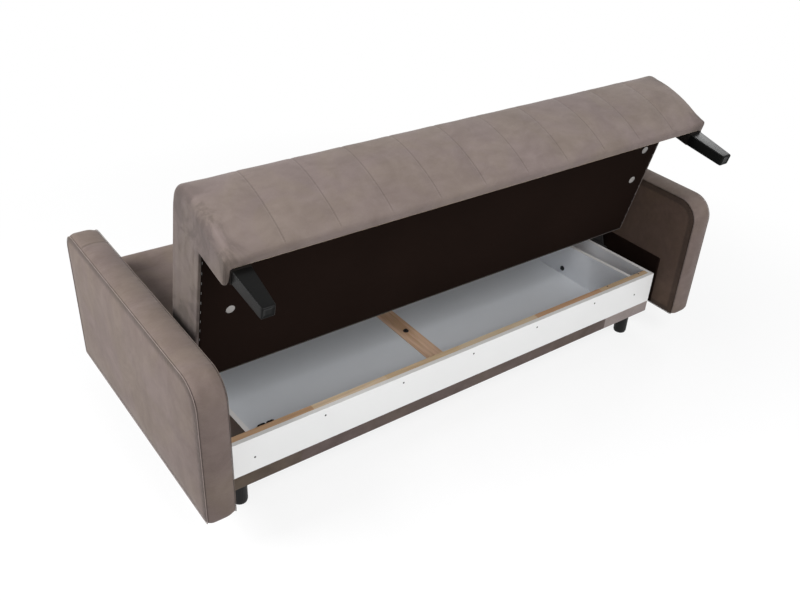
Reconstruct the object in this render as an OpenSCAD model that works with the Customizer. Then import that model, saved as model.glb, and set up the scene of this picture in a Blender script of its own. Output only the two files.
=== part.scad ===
// Storage sofa bed with a lift-up seat, a fold-flat backrest and two slab arms.
// +X runs along the sofa, +Y to the rear, +Z up. The origin is on the floor, at the middle of the
// whole outline with the seat lifted and the backrest flat. Left is -X, right is +X.

/* [Overall] */
// Width over both arms
overall_w = 2200; // [1700:10:2400]
// Gap between each arm and the box, which holds the mechanism
side_gap = 29; // [27:1:36]
// How far the seat is lifted, in degrees
lift_angle = 77; // [74:0.5:78]

/* [Arms] */
// Thickness of an arm
arm_t = 101; // [80:1:130]
// Length of an arm, front to rear
arm_len = 1025; // [1000:5:1100]
// Height of an arm above its lower edge
arm_h = 510; // [470:5:560]
// Height of an arm's lower edge above the floor
arm_lift = 140; // [125:1:150]
// Radius of the arm's upper front corner
arm_front_r = 88; // [50:1:110]
// Radius of the arm's upper rear corner
arm_rear_r = 70; // [40:1:90]
// Thickness of the padded panel on each side of an arm
arm_panel_t = 11; // [8:1:14]
// Thickness of the padded band around an arm
arm_band_t = 12; // [8:1:16]
// Width of the timbers in an arm's frame
arm_rail_w = 46; // [36:1:60]
// Height of the black lining's upper edge above the floor
lining_top = 361; // [340:1:380]

/* [Box] */
// Distance from the arms' front to the front board
box_setback = 107; // [104:1:112]
// Depth of the box, front to rear
box_d = 729; // [720:1:740]
// Height of the front board's upper edge above the floor
box_top = 300; // [298:0.5:300]
// Height of the front board
front_h = 133; // [120:1:140]
// Height of the fabric plinth strip
plinth_h = 50; // [40:1:54]
// Thickness of the box boards
board_t = 16; // [15:0.5:18]
// Distance from the middle to each seam in the plinth strip
plinth_seam = 715; // [500:5:800]
// Drop of the end boards' upper edge per millimetre to the rear
end_slope = 0.034; // [0.02:0.001:0.05]
// Drop of the inner side boards' upper edge per millimetre to the rear
inner_slope = 0.062; // [0.04:0.001:0.07]
// Width of the channel between an inner side board and the end board
channel_w = 77; // [70:1:90]
// Depth of the batten behind the front board
batten_d = 23; // [18:1:30]
// Height of the batten behind the front board
batten_h = 54; // [40:1:60]
// Thickness of the floor panels
floor_t = 6; // [3:0.5:8]
// Width of the centre cross-bar
bar_w = 76; // [60:1:100]
// Thickness of the centre cross-bar
bar_t = 20; // [16:1:24]
// Distance between the front board's screws
screw_pitch = 312; // [250:1:330]
// Diameter of the feet
foot_d = 53; // [40:1:60]

/* [Seat] */
// Depth of the seat at the height of its nose
seat_d = 660; // [655:1:664]
// Thickness of the seat
seat_t = 172; // [168:1:176]
// Radius of the seat's upper front edge
nose_r = 45; // [30:1:55]
// Radius of the lean of the seat's front face
lean_r = 500; // [450:10:700]
// How far the front lip reaches below the seat
lip_drop = 143; // [136:1:148]
// Thickness of the timbers in the seat and back frames
frame_t = 51; // [45:1:54]
// Width of the timbers in the seat and back frames
frame_rail_w = 50; // [40:1:55]
// Thickness of the returns at the ends of the lip
return_t = 18; // [14:1:22]
// Depth of the returns at the ends of the lip
return_d = 70; // [60:1:72]
// Distance from the seat's underside to a leg's sole
leg_reach = 302; // [301.8:0.1:302]
// Distance between two staples
staple_pitch = 38; // [30:1:60]

/* [Backrest] */
// Length of the backrest from its lower edge to its upper edge
back_l = 589; // [560:1:600]
// Thickness of the backrest
back_t = 160; // [150:1:161]
// Radius of the backrest's lower front edge
back_edge_r = 42; // [42:1:48]

/* [Mechanism] */
// Travel of the seat and backrest between bed and sofa position
slide_travel = 160; // [150:1:160]
// Distance from the arms' front to the seat pins, in the bed position
seat_pin_y = 465.3; // [463:0.1:468]
// Height of the seat pins above the floor
seat_pin_z = 458.1; // [458:0.1:458.3]
// Distance from the seat's rear edge in to its pins
seat_pin_in = 10.5; // [8:0.5:10.5]
// Distance from the seat pins to the back pins
pin_gap = 98.7; // [98:0.1:100]
// Height of the back pins above the floor
back_pin_z = 406; // [405:0.5:407]
// Distance from the backrest's lower edge to its pins
back_pin_in = 78; // [74:1:79]
// Diameter of the pins and slide studs
pin_d = 12; // [10:1:14]
// Thickness of the steel plates
plate_t = 5; // [4:0.5:5.5]

/* [Hidden] */
$fn = 48;

// shared clearances and small sizes
gap = 0.3;                 // between pieces that move past each other
run = 0.05;                // radial play of a pin in its bore
plate_gap = 0.5;           // between steel plates that slide past each other
cloth = 0.8;               // lining and turned fabric
skirt = 6;                 // fabric and wadding on a frame's edge
belt_t = 1.5;              // webbing belt
margin = 3;                // fabric that shows under the frame's edge
soft_gap = 0.5;            // between the padded ends and the slide plates
plate_edge = 16;           // steel around a pin
screw_d = 4;
screw_tip = 6;             // timber left in front of a screw's tip
screw_head_t = 1.5;
bolt_d = 8;
bolt_grip = 30;            // depth of a bolt in the frame or foot that it holds
washer_d = 22;
washer_t = 2;
head_d = 13;
head_t = 6;
pin_head_d = 20;
pin_head_t = 4;
plinth_t = 3;
lining_t = 1;
foot_pad_t = 6;
foot_pad_in = 2;
belt_w = 60;
belt_in = 5;
vent_d = 30;
vent_t = 1.4;
vent_stem_d = 14;
vent_stem_h = 8;
staple_l = 10;
staple_w = 1.2;
staple_t = 0.6;
staple_in = 6;
side_bolt_in = 394;        // from the front of the box
bar_bolt_in = 400;
lining_rear_in = 125;      // from an arm's rear end to its lining
pad_d = 32;                // dark pads in the box
pad_h = 18;
pad_step = 33;
pads_in = 137;             // from the left inner board and from the batten
left_shift = 12;           // the left inner board stands nearer its end board
left_drop = 8;             // and the screw in it is lower
pads_back = 153;
pad_end_r = 20;
seat_rear_r = 14;
back_rear_r = 35;

// widths, from the middle outwards
arm_out = overall_w / 2;
arm_in = arm_out - arm_t;
half_l = arm_in - side_gap;
end_in = half_l - board_t;
inner_out = end_in - channel_w;
inner_in = inner_out - board_t;
lining_in = arm_in - lining_t;

// box heights and depths
box_front = box_setback;
box_in_front = box_front + board_t;
batten_rear = box_in_front + batten_d;
box_rear = box_front + box_d;
box_in_rear = box_rear - board_t;
rail_front = box_in_rear - board_t;
front_bottom = box_top - front_h;
plinth_bottom = front_bottom - plinth_h;
floor_lift = 8;
floor_z = plinth_bottom + floor_lift;
floor_top = floor_z + floor_t;
bar_step = 3;
bar_top = floor_top + bar_step;
bar_z = bar_top - bar_t;

// seat, drawn closed: its pins at the origin, u forwards from its rear edge, v up from its underside
seat_pin_v = seat_pin_z - (leg_reach + 0.1);
seat_half = half_l - soft_gap;
frame_half = seat_half - skirt;
frame_top = cloth + frame_t;
pad_base = frame_top + 2 * belt_t;
fascia_t = 16;
lip_wrap = 3;              // padding under the lip's board
nose_pad = 58;
fascia_front = seat_d - nose_pad;
fascia_rear = fascia_front - fascia_t;
lean_v = 60;
leg_block_d = 45;
leg_block_over = 7;        // below the lip's lower edge
leg_end = [20, 24.5];      // from the seat's end to a leg, at its top and its sole
leg_w = [57, 41];
leg_d = [44, 39];
vent_in = [107, 78];       // from the seat's left and right end
vent_u = [278, 420];

// backrest, drawn flat: its pins at the origin
back_pin_y = seat_pin_y + pin_gap;
seat_top_z = leg_reach + 0.1 + seat_t;
back_top = seat_top_z - back_pin_z;
back_bottom = back_top - back_t;
back_front = -back_pin_in;
back_far = back_front + back_l;
back_under_z = back_pin_z + back_bottom;

// whole outline, for the origin
lift_c = cos(lift_angle);
lift_s = sin(lift_angle);
sole_y = seat_pin_y + (seat_pin_in - fascia_rear) * lift_c - (leg_reach + seat_pin_v) * lift_s;
outline_rear = back_pin_y + back_far;
y_mid = (sole_y + outline_rear) / 2;

// mechanism, from the end board outwards
base_out = half_l + plate_t;
carriage_in = base_out + plate_gap;
carriage_out = carriage_in + plate_t;
pin_in = seat_half + gap;
stud_in = half_l + gap;
arm_plate_out = carriage_in - 0.7;
stud_z = 245;
stud_front = seat_pin_y - 65;
slot_web = 16;
stud_rear = stud_front + slide_travel + 2 * pin_d + slot_web;
plate_foot = stud_z - 23;
plate_head = min(stud_z + 53, box_top - 2);

// fasteners
front_screw_x = [-2, -1, 0, 1, 2];
front_screw_z = box_top - 28;
low_screw_z = box_top - 70;

// How far an inner side board and its screw stand out and down from the plain position
function board_shift(s) = s < 0 ? left_shift : 0;
function screw_drop(s) = s < 0 ? left_drop : 0;
arm_bolt_y = [200, 750];
spacer_z = 178;
spacer_h = 74;
spacer_l = 120;
side_bolt = [box_front + side_bolt_in, front_bottom - 8];
bar_bolt_y = box_front + bar_bolt_in;
foot_y = [box_front + 65, box_in_rear - 50];
foot_x = end_in - 42;
slide_screw_y = [stud_front - 12, (stud_front + stud_rear + slide_travel) / 2, stud_rear + slide_travel + 12];

white = [0.93, 0.92, 0.89];
pine = [0.84, 0.67, 0.45];
velvet = [0.56, 0.51, 0.48];
black = [0.12, 0.11, 0.11];
steel = [0.25, 0.25, 0.27];
zinc = [0.72, 0.73, 0.74];
panel = [0.62, 0.65, 0.67];
grey = [0.60, 0.58, 0.57];
tan_fabric = [0.38, 0.30, 0.25];

// ---- placing ----

// A box between two corners
module block(a, b) {
    translate(a) cube(b - a);
}

// Extrudes a (y, z) outline from x0 to x1
module along_x(x0, x1) {
    translate([x0, 0, 0]) rotate([90, 0, 90]) linear_extrude(height = x1 - x0) children();
}

// Extrudes an (x, z) outline from y0 to y1
module along_y(y0, y1) {
    translate([0, y1, 0]) rotate([90, 0, 0]) linear_extrude(height = y1 - y0) children();
}

// A rod along X from x0 to x1 at (y, z)
module rod_x(x0, x1, y, z, d) {
    translate([x0, y, z]) rotate([0, 90, 0]) cylinder(h = x1 - x0, d = d);
}

// A rod along Y from y0 to y1 at (x, z)
module rod_y(y0, y1, x, z, d) {
    translate([x, y0, z]) rotate([-90, 0, 0]) cylinder(h = y1 - y0, d = d);
}

// Arm fronts at y = 0 moved to the origin in the middle of the outline
module placed() {
    translate([0, -y_mid, 0]) children();
}

// One side: 1 keeps the right-hand shape, -1 mirrors it to the left
module side(s) {
    if (s > 0) placed() children();
    else mirror([1, 0, 0]) placed() children();
}

// Both sides at once
module both() {
    for (s = [-1, 1]) side(s) children();
}

// Seat coordinates (x, -u, v) turned up about the seat pins
module seat_place() {
    translate([0, seat_pin_y - y_mid, seat_pin_z]) rotate([-lift_angle, 0, 0])
        translate([0, seat_pin_in, -seat_pin_v]) children();
}

module seat_side(s) {
    if (s > 0) seat_place() children();
    else mirror([1, 0, 0]) seat_place() children();
}

module seat_both() {
    for (s = [-1, 1]) seat_side(s) children();
}

// Backrest coordinates with the back pins at the origin
module back_place() {
    translate([0, back_pin_y - y_mid, back_pin_z]) children();
}

module back_side(s) {
    if (s > 0) back_place() children();
    else mirror([1, 0, 0]) back_place() children();
}

// What lies outside a quarter circle of radius r in the corner of a rectangle at p, facing (sx, sy)
module corner_waste(p, sx, sy, r) {
    translate(p) scale([sx, sy]) difference() {
        translate([-1, -1]) square([r + 1, r + 1]);
        translate([r, r]) circle(r = r);
    }
}

// ---- box ----

module front_screw_holes(d, y0, y1) {
    for (i = front_screw_x) rod_y(y0, y1, i * screw_pitch, front_screw_z, d);
}

module low_screw_holes(d, y0, y1) {
    for (s = [-1, 1])
        rod_y(y0, y1, s * ((inner_in + inner_out) / 2 + board_shift(s)), low_screw_z - screw_drop(s), d);
}

module front_board() {
    color(white) placed() difference() {
        block([-half_l, box_front, front_bottom], [half_l, box_in_front, box_top]);
        front_screw_holes(screw_d, box_front - 1, box_in_front + 1);
        low_screw_holes(screw_d, box_front - 1, box_in_front + 1);
    }
}

module front_batten() {
    color(pine) placed() difference() {
        block([-end_in, box_in_front, box_top - batten_h], [end_in, batten_rear, box_top]);
        front_screw_holes(screw_d, box_in_front - 1, batten_rear - screw_tip);
    }
}

// Seven pan-head screws with their shanks in the batten and the inner side boards
module front_screws() {
    color(zinc) placed() {
        front_screw_holes(screw_d, box_front, batten_rear - screw_tip);
        low_screw_holes(screw_d, box_front, batten_rear - screw_tip);
        front_screw_holes(2 * screw_d, box_front - screw_head_t, box_front);
        low_screw_holes(2 * screw_d, box_front - screw_head_t, box_front);
    }
}

// Rail behind the fabric plinth strips, under the front board
module base_rail() {
    color(pine) placed()
        block([-half_l, box_front + plinth_t, plinth_bottom], [half_l, box_in_front, front_bottom]);
}

// One fabric strip from x0 to x1
module plinth(x0, x1) {
    color(tan_fabric) placed()
        block([x0, box_front, plinth_bottom], [x1, box_front + plinth_t, front_bottom]);
}

module plinth_left() {
    plinth(-half_l, -plinth_seam);
}

module plinth_middle() {
    plinth(-plinth_seam, plinth_seam);
}

module plinth_right() {
    plinth(plinth_seam, half_l);
}

// End board outline with its upper edge falling to the rear
module end_outline() {
    drop = end_slope * (box_rear - box_in_front);
    polygon([[box_in_front, plinth_bottom], [box_rear, plinth_bottom],
        [box_rear, box_top - drop], [box_in_front, box_top]]);
}

module arm_bolt_holes(x0, x1, d) {
    for (y = arm_bolt_y) rod_x(x0, x1, y, spacer_z, d);
}

module slide_screw_holes(x0, x1, d) {
    for (y = slide_screw_y) rod_x(x0, x1, y, plate_head - 14, d);
}

module end_board(s) {
    color(white) side(s) difference() {
        along_x(end_in, half_l) end_outline();
        arm_bolt_holes(end_in - 1, half_l + 1, bolt_d);
        slide_screw_holes(end_in + 3, half_l + 1, screw_d);
    }
}

module end_board_left() {
    end_board(-1);
}

module end_board_right() {
    end_board(1);
}

// Inner side board, notched in front for the batten
module inner_side_board(s) {
    notch = box_top - batten_h;
    drop_front = inner_slope * batten_d;
    drop_rear = inner_slope * (rail_front - box_in_front);
    color(white) side(s) translate([board_shift(s), 0, 0]) difference() {
        along_x(inner_in, inner_out) polygon([[box_in_front, floor_top], [rail_front, floor_top],
            [rail_front, box_top - drop_rear], [batten_rear, box_top - drop_front],
            [batten_rear, notch], [box_in_front, notch]]);
        rod_x(inner_in - 1, inner_out + 1, side_bolt[0], side_bolt[1], bolt_d);
        rod_y(box_in_front - 1, batten_rear - screw_tip, (inner_in + inner_out) / 2,
            low_screw_z - screw_drop(s), screw_d);
    }
}

module inner_side_board_left() {
    inner_side_board(-1);
}

module inner_side_board_right() {
    inner_side_board(1);
}

module rear_board() {
    rear_top = box_top - end_slope * (box_rear - box_in_front);
    color(white) placed()
        block([-end_in, box_in_rear, plinth_bottom], [end_in, box_rear, rear_top]);
}

// Pine rail that the flat backrest lies on
module rear_rest_rail() {
    rail_z = box_top - inner_slope * (rail_front - box_in_front);
    color(pine) placed()
        block([-end_in, rail_front, rail_z], [end_in, box_in_rear, back_under_z - gap]);
}

// Thin panel from the cross-bar to an end board
module floor_panel(s) {
    color(panel) side(s)
        block([bar_w / 2, box_in_front, floor_z], [end_in, box_in_rear, floor_top]);
}

module floor_panel_left() {
    floor_panel(-1);
}

module floor_panel_right() {
    floor_panel(1);
}

module center_crossbar() {
    color(pine) placed() difference() {
        block([-bar_w / 2, box_in_front, bar_z], [bar_w / 2, box_in_rear, bar_top]);
        translate([0, bar_bolt_y, bar_z - 1]) cylinder(h = bar_t + 2, d = bolt_d);
    }
}

// Bolt head and washer standing on z = 0
module bolt_head() {
    cylinder(h = washer_t, d = washer_d);
    translate([0, 0, washer_t]) cylinder(h = head_t, d = head_d, $fn = 6);
}

// The bolt of the middle foot and one bolt through each inner side board
module box_bolts() {
    color(zinc) {
        placed() translate([0, bar_bolt_y, bar_top]) {
            bolt_head();
            translate([0, 0, -bar_t - bolt_grip]) cylinder(h = bar_t + bolt_grip, d = bolt_d);
        }
        for (s = [-1, 1]) side(s) translate([board_shift(s), 0, 0]) {
            translate([inner_in, side_bolt[0], side_bolt[1]]) rotate([0, -90, 0]) bolt_head();
            translate([inner_out, side_bolt[0], side_bolt[1]]) rotate([0, 90, 0]) bolt_head();
            rod_x(inner_in, inner_out, side_bolt[0], side_bolt[1], bolt_d);
        }
    }
}

// Two dark round pads side by side on the left floor panel
module floor_pads() {
    color(black) placed() for (s = [-1, 1])
        translate([pads_in + s * pad_step / 2 - inner_in - left_shift, batten_rear + pads_back, floor_top])
            cylinder(h = pad_h, d = pad_d);
}

// A round foot standing on z = 0 up to z = h
module foot(h) {
    cylinder(h = foot_pad_t, d = foot_d - 2 * foot_pad_in);
    translate([0, 0, foot_pad_t]) cylinder(h = h - foot_pad_t, d = foot_d);
}

module base_feet() {
    color(black) {
        for (s = [-1, 1], y = foot_y) side(s) translate([foot_x, y, 0]) foot(floor_z);
        placed() translate([0, bar_bolt_y, 0]) difference() {
            foot(bar_z);
            translate([0, 0, bar_z - bolt_grip]) cylinder(h = bolt_grip + 1, d = bolt_d);
        }
    }
}

// ---- arms ----

// Spacer blocks between the end boards and the arms
module arm_spacers() {
    color(black) both() difference() {
        for (y = arm_bolt_y) block([half_l, y - spacer_l / 2, spacer_z - spacer_h / 2],
            [lining_in, y + spacer_l / 2, spacer_z + spacer_h / 2]);
        arm_bolt_holes(half_l - 1, lining_in + 1, bolt_d);
    }
}

// Long bolts from inside the box's channels into the arm frames
module arm_bolts() {
    color(zinc) both() {
        arm_bolt_holes(end_in, arm_in + arm_panel_t + bolt_grip, bolt_d);
        for (y = arm_bolt_y) translate([end_in, y, spacer_z]) rotate([0, -90, 0]) bolt_head();
    }
}

// Side outline of an arm, drawn smaller by inset all round
module arm_outline(inset) {
    front = inset;
    rear = arm_len - inset;
    low = arm_lift + inset;
    high = arm_lift + arm_h - inset;
    difference() {
        translate([front, low]) square([rear - front, high - low]);
        corner_waste([front, high], 1, -1, arm_front_r - inset);
        corner_waste([rear, high], -1, -1, arm_rear_r - inset);
    }
}

// Timber frame with two windows
module arm_frame(s) {
    low = arm_lift + arm_band_t + arm_rail_w;
    high = arm_lift + arm_h - arm_band_t - arm_rail_w;
    mid = arm_len / 2;
    edge = arm_band_t + arm_rail_w;
    color(pine) side(s) difference() {
        along_x(arm_in + arm_panel_t, arm_out - arm_panel_t) arm_outline(arm_band_t);
        block([arm_in, edge, low], [arm_out, mid - arm_rail_w / 2, high]);
        block([arm_in, mid + arm_rail_w / 2, low], [arm_out, arm_len - edge, high]);
        arm_bolt_holes(arm_in, arm_in + arm_panel_t + bolt_grip, bolt_d);
    }
}

module arm_frame_left() {
    arm_frame(-1);
}

module arm_frame_right() {
    arm_frame(1);
}

module arm_outer_panel(s) {
    color(velvet) side(s) along_x(arm_out - arm_panel_t, arm_out) arm_outline(0);
}

module arm_outer_panel_left() {
    arm_outer_panel(-1);
}

module arm_outer_panel_right() {
    arm_outer_panel(1);
}

module arm_inner_panel(s) {
    color(velvet) side(s) difference() {
        along_x(arm_in, arm_in + arm_panel_t) arm_outline(0);
        arm_bolt_holes(arm_in - 1, arm_in + arm_panel_t + 1, bolt_d);
    }
}

module arm_inner_panel_left() {
    arm_inner_panel(-1);
}

module arm_inner_panel_right() {
    arm_inner_panel(1);
}

// Padded band around the frame, between the two panels
module arm_band(s) {
    color(velvet) side(s) difference() {
        along_x(arm_in + arm_panel_t, arm_out - arm_panel_t) arm_outline(0);
        along_x(arm_in, arm_out) arm_outline(arm_band_t);
    }
}

module arm_band_left() {
    arm_band(-1);
}

module arm_band_right() {
    arm_band(1);
}

// Black lining on the arm's inner face, beside the box
module arm_lining(s) {
    color(black) side(s) difference() {
        block([lining_in, box_front + 5, arm_lift + 10], [arm_in, arm_len - lining_rear_in, lining_top]);
        arm_bolt_holes(lining_in - 1, arm_in + 1, bolt_d);
    }
}

module arm_lining_left() {
    arm_lining(-1);
}

module arm_lining_right() {
    arm_lining(1);
}

// ---- slide plates and carriage ----

// A slot for a stud of diameter d whose centre starts at y
module stud_slot(y, d) {
    block([half_l - 1, y, stud_z - d / 2], [base_out + 1, y + slide_travel, stud_z + d / 2]);
    rod_x(half_l - 1, base_out + 1, y, stud_z, d);
    rod_x(half_l - 1, base_out + 1, y + slide_travel, stud_z, d);
}

// Slotted plate screwed to the outside of an end board
module slide_plate(s) {
    color(steel) side(s) difference() {
        block([half_l, stud_front - 28, plate_foot],
            [base_out, stud_rear + slide_travel + 28, plate_head]);
        stud_slot(stud_front, pin_d + 2 * run);
        stud_slot(stud_rear, pin_d + 2 * run);
        slide_screw_holes(half_l - 1, base_out, screw_d);
        slide_screw_holes(base_out - 2, base_out + 1, 2 * screw_d);
    }
}

module slide_plate_left() {
    slide_plate(-1);
}

module slide_plate_right() {
    slide_plate(1);
}

// Countersunk screws, flush with the plates
module slide_plate_screws() {
    color(zinc) both() {
        slide_screw_holes(end_in + 3, base_out - 2, screw_d);
        slide_screw_holes(base_out - 2, base_out, 2 * screw_d);
    }
}

// Plate that carries both pins and rides on the slide plate with two studs
module carriage(s) {
    e = plate_edge;
    color(steel) side(s) difference() {
        along_x(carriage_in, carriage_out) {
            polygon([[stud_front - e, stud_z - e], [stud_rear + e, stud_z - e],
                [stud_rear + e, stud_z + e], [back_pin_y + e, back_pin_z],
                [back_pin_y, back_pin_z + e], [seat_pin_y, seat_pin_z + e],
                [seat_pin_y - e, seat_pin_z], [stud_front - e, stud_z + e]]);
            translate([back_pin_y, back_pin_z]) circle(r = e);
            translate([seat_pin_y, seat_pin_z]) circle(r = e);
        }
        rod_x(carriage_in - 1, carriage_out + 1, stud_front, stud_z, pin_d);
        rod_x(carriage_in - 1, carriage_out + 1, stud_rear, stud_z, pin_d);
        rod_x(carriage_in - 1, carriage_out + 1, seat_pin_y, seat_pin_z, pin_d);
        rod_x(carriage_in - 1, carriage_out + 1, back_pin_y, back_pin_z, pin_d);
    }
}

module carriage_left() {
    carriage(-1);
}

module carriage_right() {
    carriage(1);
}

// A pin from x0 through the carriage with a flat head outside it
module headed_pin(x0, y, z) {
    rod_x(x0, carriage_out, y, z, pin_d);
    rod_x(carriage_out, carriage_out + pin_head_t, y, z, pin_head_d);
}

module slide_studs() {
    color(zinc) both() {
        headed_pin(stud_in, stud_front, stud_z);
        headed_pin(stud_in, stud_rear, stud_z);
    }
}

module seat_pivot_pins() {
    color(zinc) both() headed_pin(pin_in, seat_pin_y, seat_pin_z);
}

module back_pivot_pins() {
    color(zinc) both() headed_pin(pin_in, back_pin_y, back_pin_z);
}

// ---- seat, drawn closed with y = -u and z = v ----

// Steel arm screwed to the end of the seat frame
module seat_arm(s) {
    e = plate_edge;
    reach = 170;
    low = 8;
    color(steel) seat_side(s) difference() {
        along_x(pin_in, arm_plate_out) {
            polygon([[-reach, low], [-low, low], [-seat_pin_in + e, seat_pin_v],
                [-seat_pin_in - e, seat_pin_v], [-reach / 3, frame_top],
                [-reach, frame_top - low]]);
            translate([-seat_pin_in, seat_pin_v]) circle(r = e);
        }
        rod_x(pin_in - 1, arm_plate_out + 1, -seat_pin_in, seat_pin_v, pin_d + 2 * run);
    }
}

module seat_arm_left() {
    seat_arm(-1);
}

module seat_arm_right() {
    seat_arm(1);
}

// Timber frame of half length hx between y0 and y1, from z0 up, with n + 1 windows
module timber_frame(hx, y0, y1, z0, n) {
    w = frame_rail_w;
    pitch = (2 * hx - w) / (n + 1);
    difference() {
        block([-hx, y0, z0], [hx, y1, z0 + frame_t]);
        for (i = [0 : n]) block([-hx + w + i * pitch, y0 + w, z0 - 1],
            [-hx + (i + 1) * pitch, y1 - w, z0 + frame_t + 1]);
    }
}

// Webbing belts over a frame: n across it, then three along it
module belts(hx, y0, y1, z0, n) {
    for (i = [1 : n]) {
        x = -hx + i * 2 * hx / (n + 1);
        block([x - belt_w / 2, y0 + belt_in, z0], [x + belt_w / 2, y1 - belt_in, z0 + belt_t]);
    }
    for (i = [1 : 3]) {
        y = y0 + i * (y1 - y0) / 4;
        block([-hx + belt_in, y - belt_w / 2, z0 + belt_t],
            [hx - belt_in, y + belt_w / 2, z0 + 2 * belt_t]);
    }
}

module seat_frame() {
    color(pine) seat_place() timber_frame(frame_half, -fascia_rear, -skirt, cloth, 3);
}

module seat_webbing() {
    color(black) seat_place() belts(frame_half, -fascia_rear, -skirt, frame_top, 9);
}

// Side outline of the padded seat without its lip
module seat_outline() {
    difference() {
        translate([-seat_d, 0]) square([seat_d, seat_t]);
        corner_waste([-seat_d, seat_t], 1, -1, nose_r);
        corner_waste([0, seat_t], -1, -1, seat_rear_r);
    }
}

// Front outline of the seat with rounded upper ends
module end_round(h, r) {
    difference() {
        translate([-seat_half, 0]) square([2 * seat_half, h]);
        corner_waste([-seat_half, h], 1, -1, r);
        corner_waste([seat_half, h], -1, -1, r);
    }
}

// The seat's front face: upright at the nose, leaning back below it
module lean_outline(u0, v0, v1) {
    intersection() {
        translate([-seat_d, v0]) square([seat_d - u0, v1 - v0]);
        union() {
            translate([-seat_d + lean_r, lean_v]) circle(r = lean_r, $fn = 96);
            translate([-seat_d, lean_v]) square([seat_d, seat_t]);
        }
    }
}

// Foam and cover over the frame, with the cover turned under the frame's edges
module seat_pad() {
    color(velvet) seat_place() difference() {
        intersection() {
            along_x(-seat_half, seat_half) seat_outline();
            along_y(-seat_d, 0) end_round(seat_t, pad_end_r);
        }
        block([-frame_half, -fascia_front, cloth], [frame_half, -skirt, pad_base]);
        block([-frame_half + margin, -seat_d, -1], [frame_half - margin, -skirt - margin, cloth + 1]);
        block([-frame_half, -seat_d, -1], [frame_half, -fascia_rear, cloth + 1]);
        block([-seat_half - 1, -seat_d - 1, -1], [seat_half + 1, -fascia_front, pad_base]);
    }
}

// Board that carries the front lip
module fascia_board() {
    color(pine) seat_place() block([-frame_half, -fascia_front, lip_wrap - lip_drop],
        [frame_half, -fascia_rear, pad_base]);
}

// Padding on the front and under the lower edge of the lip
module fascia_pad() {
    color(velvet) seat_place() difference() {
        along_x(-seat_half, seat_half) lean_outline(fascia_rear, -lip_drop, pad_base);
        block([-frame_half, -fascia_front, lip_wrap - lip_drop], [frame_half, 0, seat_t]);
        block([-seat_half - 1, -fascia_front, 0], [seat_half + 1, 0, seat_t]);
    }
}

// Padded side wing behind each end of the lip
module fascia_return(s) {
    color(velvet) seat_side(s)
        block([seat_half - return_t, -fascia_rear, -lip_drop],
            [seat_half, -fascia_front + return_d, 0]);
}

module fascia_return_left() {
    fascia_return(-1);
}

module fascia_return_right() {
    fascia_return(1);
}

// Its children at each vent, two near either end of the seat
module at_vents() {
    for (k = [0, 1], u = vent_u)
        translate([(2 * k - 1) * (seat_half - vent_in[k]), -u, 0]) children();
}

// Black cloth under the frame, with holes for the vent buttons
module seat_lining() {
    x = frame_half - margin;
    color(black) seat_place() difference() {
        block([-x, -fascia_rear, 0], [x, -skirt - margin, cloth]);
        at_vents() translate([0, 0, -1]) cylinder(h = cloth + 2, d = vent_stem_d);
    }
}

// Staple crowns along the turned fabric at both ends
module lining_staples() {
    x = frame_half - staple_in;
    n = floor((fascia_front - return_d) / staple_pitch) - 1;
    color(zinc) seat_both() for (i = [1 : n])
        block([x, -i * staple_pitch - staple_l / 2, -staple_t],
            [x + staple_w, -i * staple_pitch + staple_l / 2, 0]);
}

// Plastic air vents clipped into the lining
module vent_buttons() {
    color(grey) seat_place() at_vents() {
        translate([0, 0, -vent_t]) cylinder(h = vent_t, d = vent_d);
        cylinder(h = vent_stem_h, d = vent_stem_d);
    }
}

// Tapered leg under the block at each end of the lip
module seat_leg(s) {
    top_v = leg_block_over + lip_drop;
    x = [seat_half - leg_end[0], seat_half - leg_end[1]];
    y = -fascia_rear;
    color(black) seat_side(s) intersection() {
        along_x(x[0] - leg_w[0], x[0]) polygon([[y, -leg_reach], [y + leg_d[1], -leg_reach],
            [y + leg_d[0], -top_v], [y, -top_v]]);
        along_y(y - 1, y + leg_d[0] + 1) polygon([[x[1] - leg_w[1], -leg_reach],
            [x[1], -leg_reach], [x[0], -top_v], [x[0] - leg_w[0], -top_v]]);
    }
}

module seat_leg_left() {
    seat_leg(-1);
}

module seat_leg_right() {
    seat_leg(1);
}

// Wooden blocks behind the lip that the legs are bolted under, flush with their inner faces
module leg_blocks() {
    x = seat_half - leg_end[0] - leg_w[0];
    color(black) seat_both() block([x, -fascia_rear, -leg_block_over - lip_drop],
        [seat_half - return_t, -fascia_rear + leg_block_d, 0]);
}

// ---- backrest, drawn flat with its pins at the origin ----

module back_frame() {
    color(pine) back_place()
        timber_frame(frame_half, back_front + skirt, back_far - skirt, back_bottom + cloth, 3);
}

module back_webbing() {
    color(black) back_place() belts(frame_half, back_front + skirt, back_far - skirt,
        back_bottom + frame_top, 9);
}

// Foam and cover over the back frame
module back_pad() {
    color(velvet) back_place() difference() {
        intersection() {
            along_x(-seat_half, seat_half) difference() {
                translate([back_front, back_bottom]) square([back_l, back_t]);
                corner_waste([back_front, back_top], 1, -1, back_edge_r);
                corner_waste([back_far, back_top], -1, -1, back_rear_r);
            }
            translate([0, 0, back_bottom]) along_y(back_front, back_far) end_round(back_t, pad_end_r);
        }
        block([-frame_half, back_front + skirt, back_bottom + cloth],
            [frame_half, back_far - skirt, back_bottom + pad_base]);
        block([-frame_half + margin, back_front + skirt + margin, back_bottom - 1],
            [frame_half - margin, back_far - skirt - margin, back_bottom + cloth + 1]);
    }
}

module back_lining() {
    x = frame_half - margin;
    color(black) back_place() block([-x, back_front + skirt + margin, back_bottom],
        [x, back_far - skirt - margin, back_bottom + cloth]);
}

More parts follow.
